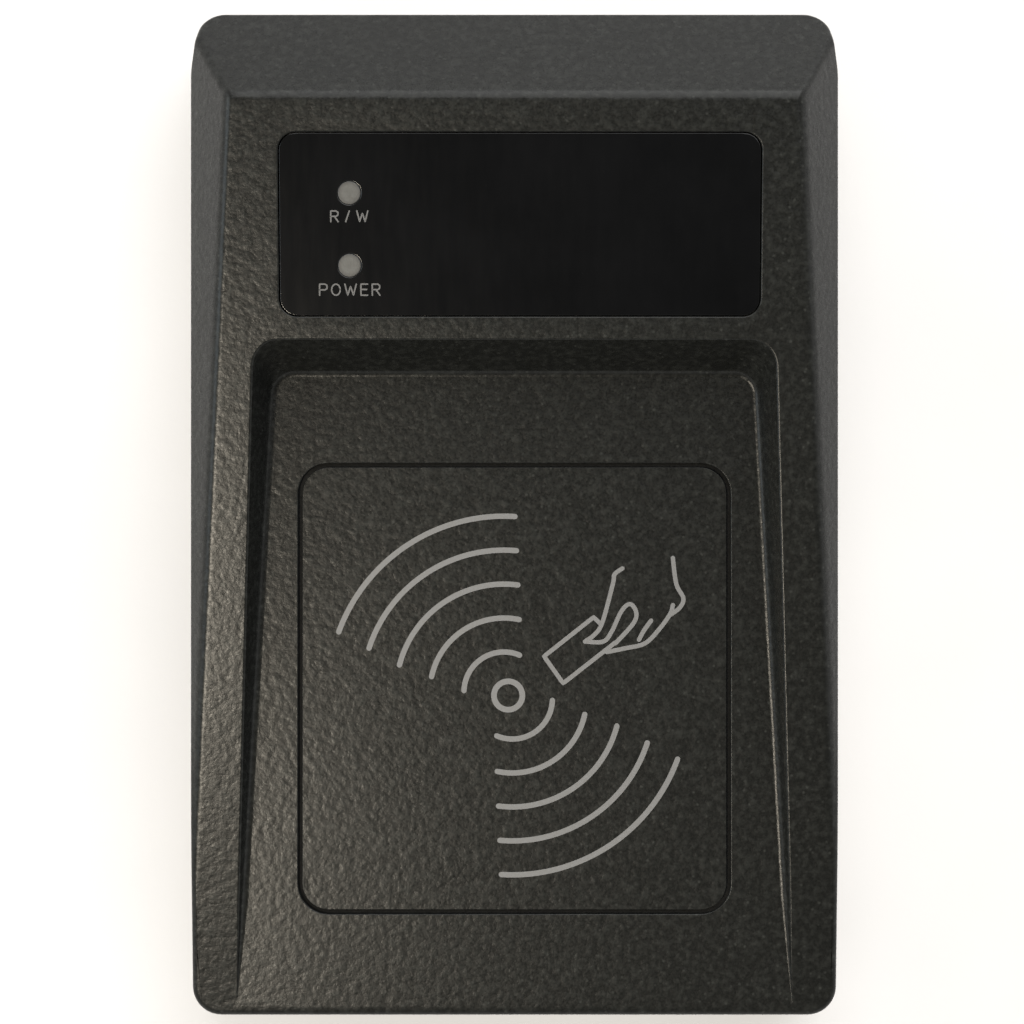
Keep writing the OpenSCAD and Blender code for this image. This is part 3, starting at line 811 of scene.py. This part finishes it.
def packaged(name, node, body, body_mm, tinned=(0.55, 0.55, 0.53)):
    """A chip: resin inside body_mm of its middle, tinned metal beyond it."""
    low, high = box_mm(node)
    p = Paint(name)
    centre = (low + high) / 2
    outside = p.math("MAXIMUM", p.band("X", centre.x, body_mm[0] / 2), p.band("Y", centre.y, body_mm[1] / 2))
    grain = p.noise(0.12, 3, 0.6)
    resin = p.mix(p.remap(grain, 0.3, 0.7, 0, 1), scaled(body, 0.75), scaled(body, 1.25))
    p.colour(p.mix(outside, resin, tinned))
    p.put(outside, p.shader.inputs["Metallic"])
    p.rough(p.remap(grain, 0.3, 0.7, 0.42, 0.6))
    p.bump(grain, 0.006)
    return p.material


def ceramic(name, colour, speck):
    p = Paint(name)
    grain = p.noise(0.1, 3, 0.6)
    specks = p.cells(0.22)
    base = p.mix(p.remap(grain, 0.3, 0.7, 0, 1), scaled(colour, 0.85), colour)
    p.colour(p.mix(p.remap(specks, 0.0, 0.3, 0.6, 0), base, speck))
    p.rough(p.remap(grain, 0.3, 0.7, 0.5, 0.7))
    p.bump(grain, 0.005)
    return p.material


def rating_film():
    p = Paint("rating_film")
    brushed = p.noise(0.25, 4, 0.6, (0.05, 1, 1))
    p.colour(p.mix(p.remap(brushed, 0.3, 0.7, 0, 1), (0.42, 0.42, 0.43), (0.52, 0.52, 0.53)))
    p.rough(p.remap(brushed, 0.3, 0.7, 0.38, 0.52))
    p.shader.inputs["Metallic"].default_value = 0.35
    p.bump(brushed, 0.002)
    return p.material


def paper_floor():
    p = Paint("floor_paper")
    cloud = p.noise(60.0, 3, 0.5)
    fibre = p.noise(0.8, 3, 0.6)
    p.colour(p.mix(p.remap(cloud, 0.3, 0.7, 0, 1), (0.485, 0.49, 0.505), (0.525, 0.53, 0.545)))
    p.rough(p.remap(fibre, 0.3, 0.7, 0.75, 0.85))
    p.bump(fibre, 0.01)
    return p.material


# ---------------------------------------------------------------- pieces
def dress(node, material, bevel_mm=0.0, segments=2):
    """Gives a CAD node its material, rounds its edges and smooths its curved walls, with modifiers only."""
    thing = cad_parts[node]
    thing.data.materials.clear()
    thing.data.materials.append(material)
    for polygon in thing.data.polygons:
        polygon.use_smooth = True
        polygon.material_index = 0
    weld = thing.modifiers.new("weld", "WELD")
    weld.merge_threshold = 0.0005 * MM
    if bevel_mm:
        flat = thing.modifiers.new("planar", "DECIMATE")
        flat.decimate_type = "DISSOLVE"
        flat.angle_limit = radians(1)
        bevel = thing.modifiers.new("bevel", "BEVEL")
        bevel.width = bevel_mm * MM
        bevel.segments = segments
        bevel.limit_method = "ANGLE"
        bevel.angle_limit = radians(35)
        bevel.use_clamp_overlap = True
        bevel.miter_outer = "MITER_ARC"
    smooth = thing.modifiers.new("weighted normals", "WEIGHTED_NORMAL")
    smooth.weight = 80
    return thing


def add_piece(thing, material):
    thing.data.materials.clear()
    thing.data.materials.append(material)
    for polygon in thing.data.polygons:
        polygon.material_index = 0
    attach(thing, "root")
    return thing


CASE_GREY = (0.0082, 0.0086, 0.0079)
case_plastic = grained_plastic("case_plastic", CASE_GREY, 0.75, 0.04, 0.3)
label_film = grained_plastic("label_film", CASE_GREY, 0.75, 0.04, 0.3)
window_plastic = gloss_window()
label_ink = ink("label_ink", 0.125)
window_ink = ink("window_ink", 0.075)
case_metal = metal("screw_steel", (0.55, 0.55, 0.56), 0.33)
can = metal("can_metal", (0.66, 0.66, 0.65), 0.28)
black = plain_plastic("black_plastic", (0.012, 0.012, 0.012), 0.45)
resin = (0.014, 0.014, 0.014)

add_piece(make_top_shell(), case_plastic)
dress("bottom_shell", case_plastic, 0.15)
dress("display_window", window_plastic, 0.1, 3)
dress("tray_label", label_film, 0.06)
dress("light_pipe_status", frosted_pipe("light_pipe_status_finish", *pipe_boxes[0]), 0.12)
dress("light_pipe_power", frosted_pipe("light_pipe_power_finish", *pipe_boxes[1]), 0.12)
dress("rubber_feet", rubber(), 0.15)
dress("rating_label", rating_film(), 0.03)
dress("case_screws", case_metal, 0.08)
dress("board_screws", case_metal, 0.08)
dress("main_board", board_laminate(), 0.08)
dress("antenna_coil", metal("coil_copper", (0.62, 0.32, 0.14), 0.35), 0.03)
dress("reader_chip", packaged("reader_chip_resin", "reader_chip", resin, (6.2, 6.2)), 0.05)
dress("microcontroller", packaged("microcontroller_resin", "microcontroller", resin, (7.05, 7.05)), 0.05)
dress("bridge_chip", packaged("bridge_chip_resin", "bridge_chip", resin, (5.35, 7.3)), 0.05)
dress("voltage_regulator", packaged("regulator_resin", "voltage_regulator", resin, (6.6, 3.6)), 0.05)
dress("chip_resistors", plain_plastic("resistor_glaze", (0.02, 0.02, 0.022), 0.3), 0.03)
dress("reader_crystal", can, 0.1)
dress("clock_crystal", can, 0.1)
dress("reservoir_capacitor", can, 0.1)
dress("filter_inductors", ceramic("ferrite", (0.07, 0.07, 0.075), (0.12, 0.12, 0.12)), 0.05)
dress("ceramic_capacitors", ceramic("ceramic_body", (0.36, 0.27, 0.18), (0.5, 0.42, 0.32)), 0.04)
dress("buzzer", black, 0.15)
dress("status_led", plain_plastic("led_plastic", (0.72, 0.71, 0.66), 0.35), 0.06)
dress("power_led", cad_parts["status_led"].data.materials[0], 0.06)
dress("socket_shell", metal("socket_steel", (0.62, 0.62, 0.62), 0.3, (1, 0.1, 1)), 0.06)
dress("socket_insulator", black, 0.06)
dress("socket_contacts", metal("contact_gold", (0.8, 0.58, 0.2), 0.25), 0.03)


def on_label(x, y, up):
    return (x, LABEL_Y + y, label_high.z + up)


def on_window(x, y, up):
    return on_top_face(x, (y + HALF_L) / cos(TOP_TILT), up - WINDOW_SINK)


add_piece(print_marks("label_waves", wave_strokes(), on_label), label_ink)
add_piece(print_marks("label_hand", hand_strokes(), on_label), label_ink)
spot_x = (pipe_boxes[0][0].x + pipe_boxes[0][1].x) / 2
legends = letter_strokes("R/W", 4.3, 1.35, spot_x, 33.2)
legends += letter_strokes("POWER", 6.9, 1.4, spot_x, 25.1)
add_piece(print_marks("window_legends", legends, on_window), window_ink)


# ---------------------------------------------------------------- studio
def make_floor():
    size = 3.0
    mesh = bpy.data.meshes.new("floor")
    corners = [(-size, -size, 0), (size, -size, 0), (size, size, 0), (-size, size, 0)]
    mesh.from_pydata(corners, [], [(0, 1, 2, 3)])
    mesh.materials.append(paper_floor())
    floor = bpy.data.objects.new("floor", mesh)
    bpy.context.scene.collection.objects.link(floor)


def area_light(name, location, size, watts, colour=(1, 1, 1), shadow=True, floor=None):
    """A square light aimed at the reader. With floor, it lights only the floor (True) or all else (False)."""
    data = bpy.data.lights.new(name, "AREA")
    data.size = size
    data.energy = watts
    data.color = colour
    data.use_shadow = shadow
    light = bpy.data.objects.new(name, data)
    light.location = location
    light.rotation_euler = (-Vector(location)).to_track_quat("-Z", "Y").to_euler()
    light.visible_camera = False
    bpy.context.scene.collection.objects.link(light)
    if floor is not None:
        group = bpy.data.collections.new(name + " receivers")
        group.objects.link(bpy.data.objects["floor"])
        group.collection_objects[0].light_linking.link_state = "INCLUDE" if floor else "EXCLUDE"
        light.light_linking.receiver_collection = group


def make_world():
    """Pale at the horizon and darker overhead."""
    world = bpy.data.worlds.new("studio")
    bpy.context.scene.world = world
    world.use_nodes = True
    nodes, links = world.node_tree.nodes, world.node_tree.links
    where = nodes.new("ShaderNodeTexCoord")
    split = nodes.new("ShaderNodeSeparateXYZ")
    ramp = nodes.new("ShaderNodeValToRGB")
    links.new(where.outputs["Generated"], split.inputs[0])
    links.new(split.outputs["Z"], ramp.inputs[0])
    links.new(ramp.outputs["Color"], nodes["Background"].inputs["Color"])
    ramp.color_ramp.elements[0].position = 0.0
    ramp.color_ramp.elements[0].color = (1.5, 1.5, 1.48, 1)
    ramp.color_ramp.elements[1].position = 0.85
    ramp.color_ramp.elements[1].color = (0.06, 0.06, 0.06, 1)


def make_camera():
    """Straight above the reader, as near as a hand-held picture is taken."""
    data = bpy.data.cameras.new("camera")
    data.sensor_width = 36
    data.lens = 76.5
    data.clip_start = 0.01
    camera = bpy.data.objects.new("camera", data)
    camera.location = (-0.28 * MM, 0.28 * MM, (FRONT_H + 250) * MM)
    bpy.context.scene.collection.objects.link(camera)
    bpy.context.scene.camera = camera


make_floor()
make_world()
area_light("rear_soft", (0.16, 0.5, 0.45), 0.8, 6.8)
area_light("left_soft", (-0.6, 0.1, 0.35), 0.4, 1.7, (0.8, 0.92, 1.0), floor=False)
area_light("warm_left", (-0.195, -0.115, 0.5), 0.14, 2.85, (1.0, 0.9, 0.74), floor=False)
area_light("floor_wash", (-0.2, -0.1, 0.5), 0.2, 3.9, (1.0, 0.93, 0.82), shadow=False, floor=True)
make_camera()
bpy.context.scene.view_settings.view_transform = "Standard"
